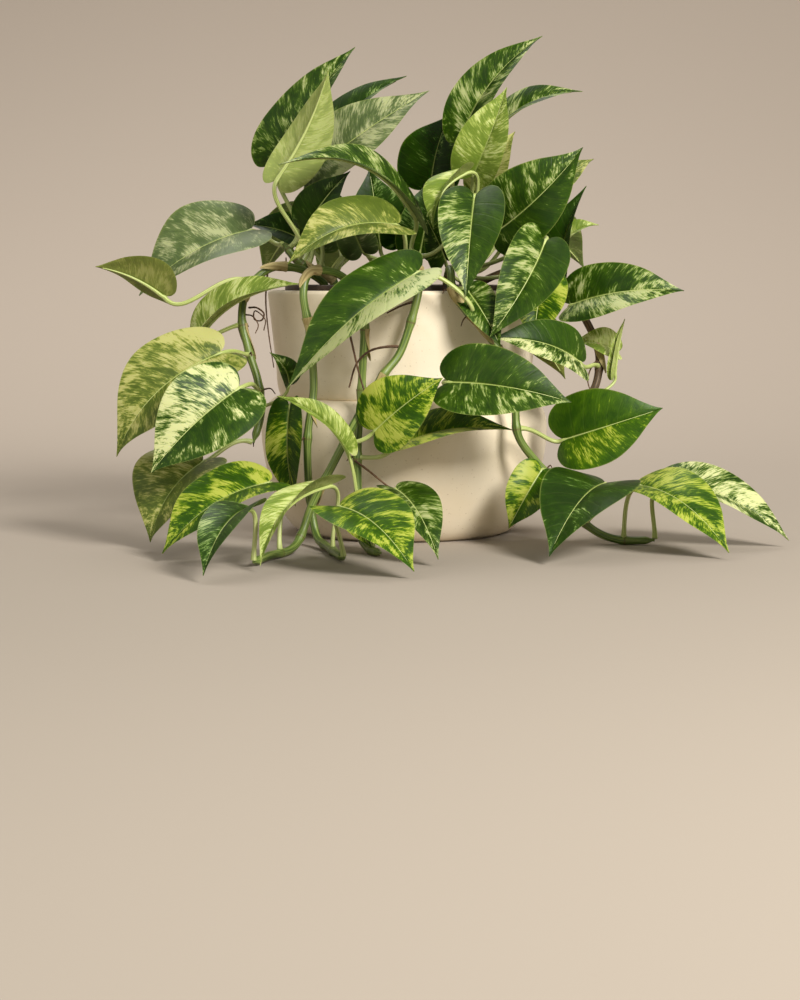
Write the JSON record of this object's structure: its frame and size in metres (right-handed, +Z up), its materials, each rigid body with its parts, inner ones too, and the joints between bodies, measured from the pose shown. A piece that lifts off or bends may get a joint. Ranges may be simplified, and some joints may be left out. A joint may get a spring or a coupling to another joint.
{
  "type": "potted pothos plant",
  "caption": "Potted trailing pothos with variegated heart-shaped leaves, its stems spilling over the rim of a round two-tier ceramic planter on a flat base.",
  "frame": {"origin": "centre of the planter's flat base, on the surface that it stands on", "axes": "+Z up; the plant's front, with most trailing stems, looks along -Y; +X is to the right seen from the front"},
  "size_m": [0.4863, 0.5285, 0.3613],
  "materials": {
    "planter_ceramic": "matte cream glaze",
    "grower_pot_plastic": "satin dark brown",
    "soil": null,
    "green_stem": null,
    "woody_stem": "dry brown bark",
    "green_leaf": null,
    "pale_leaf": null
  },
  "bodies": {
    "root": {"crown_front": "green_stem", "crown_left": "green_stem", "crown_right": "green_stem", "grower_pot": "grower_pot_plastic", "leaf_back_1": "green_leaf", "leaf_back_2": "green_leaf", "leaf_back_3": "green_leaf", "leaf_back_4": "green_leaf", "leaf_back_5": "green_leaf", "leaf_back_6": "green_leaf", "leaf_back_7": "green_leaf", "leaf_front_1": "green_leaf", "leaf_front_2": "pale_leaf", "leaf_front_3": "green_leaf", "leaf_front_4": "green_leaf", "leaf_front_5": "green_leaf", "leaf_left_1": "green_leaf", "leaf_left_2": "green_leaf", "leaf_left_3": "green_leaf", "leaf_lower_left_1": "green_leaf", "leaf_lower_left_2": "green_leaf", "leaf_lower_left_3": "pale_leaf", "leaf_lower_left_4": "green_leaf", "leaf_lower_left_5": "green_leaf", "leaf_lower_right_1": "green_leaf", "leaf_lower_right_2": "green_leaf", "leaf_lower_right_3": "pale_leaf", "leaf_right_1": "green_leaf", "leaf_right_2": "green_leaf", "leaf_right_3": "green_leaf", "leaf_right_4": "green_leaf", "leaf_upper_left_1": "green_leaf", "leaf_upper_left_2": "pale_leaf", "leaf_upper_left_3": "green_leaf", "leaf_upper_left_4": "green_leaf", "leaf_upper_left_5": "green_leaf", "leaf_upper_left_6": "pale_leaf", "leaf_upper_left_7": "green_leaf", "leaf_upper_left_8": "green_leaf", "leaf_upper_left_9": "pale_leaf", "leaf_upper_right_1": "green_leaf", "leaf_upper_right_10": "green_leaf", "leaf_upper_right_11": "pale_leaf", "leaf_upper_right_2": "green_leaf", "leaf_upper_right_3": "pale_leaf", "leaf_upper_right_4": "green_leaf", "leaf_upper_right_5": "green_leaf", "leaf_upper_right_6": "green_leaf", "leaf_upper_right_7": "green_leaf", "leaf_upper_right_8": "green_leaf", "leaf_upper_right_9": "green_leaf", "planter": "planter_ceramic", "soil": "soil", "vine_back": "green_stem", "vine_center": "green_stem", "vine_front": "green_stem", "vine_front_left": "green_stem", "vine_left": "green_stem", "vine_right": "green_stem", "vine_right_woody": "woody_stem"}
  },
  "joints": []
}
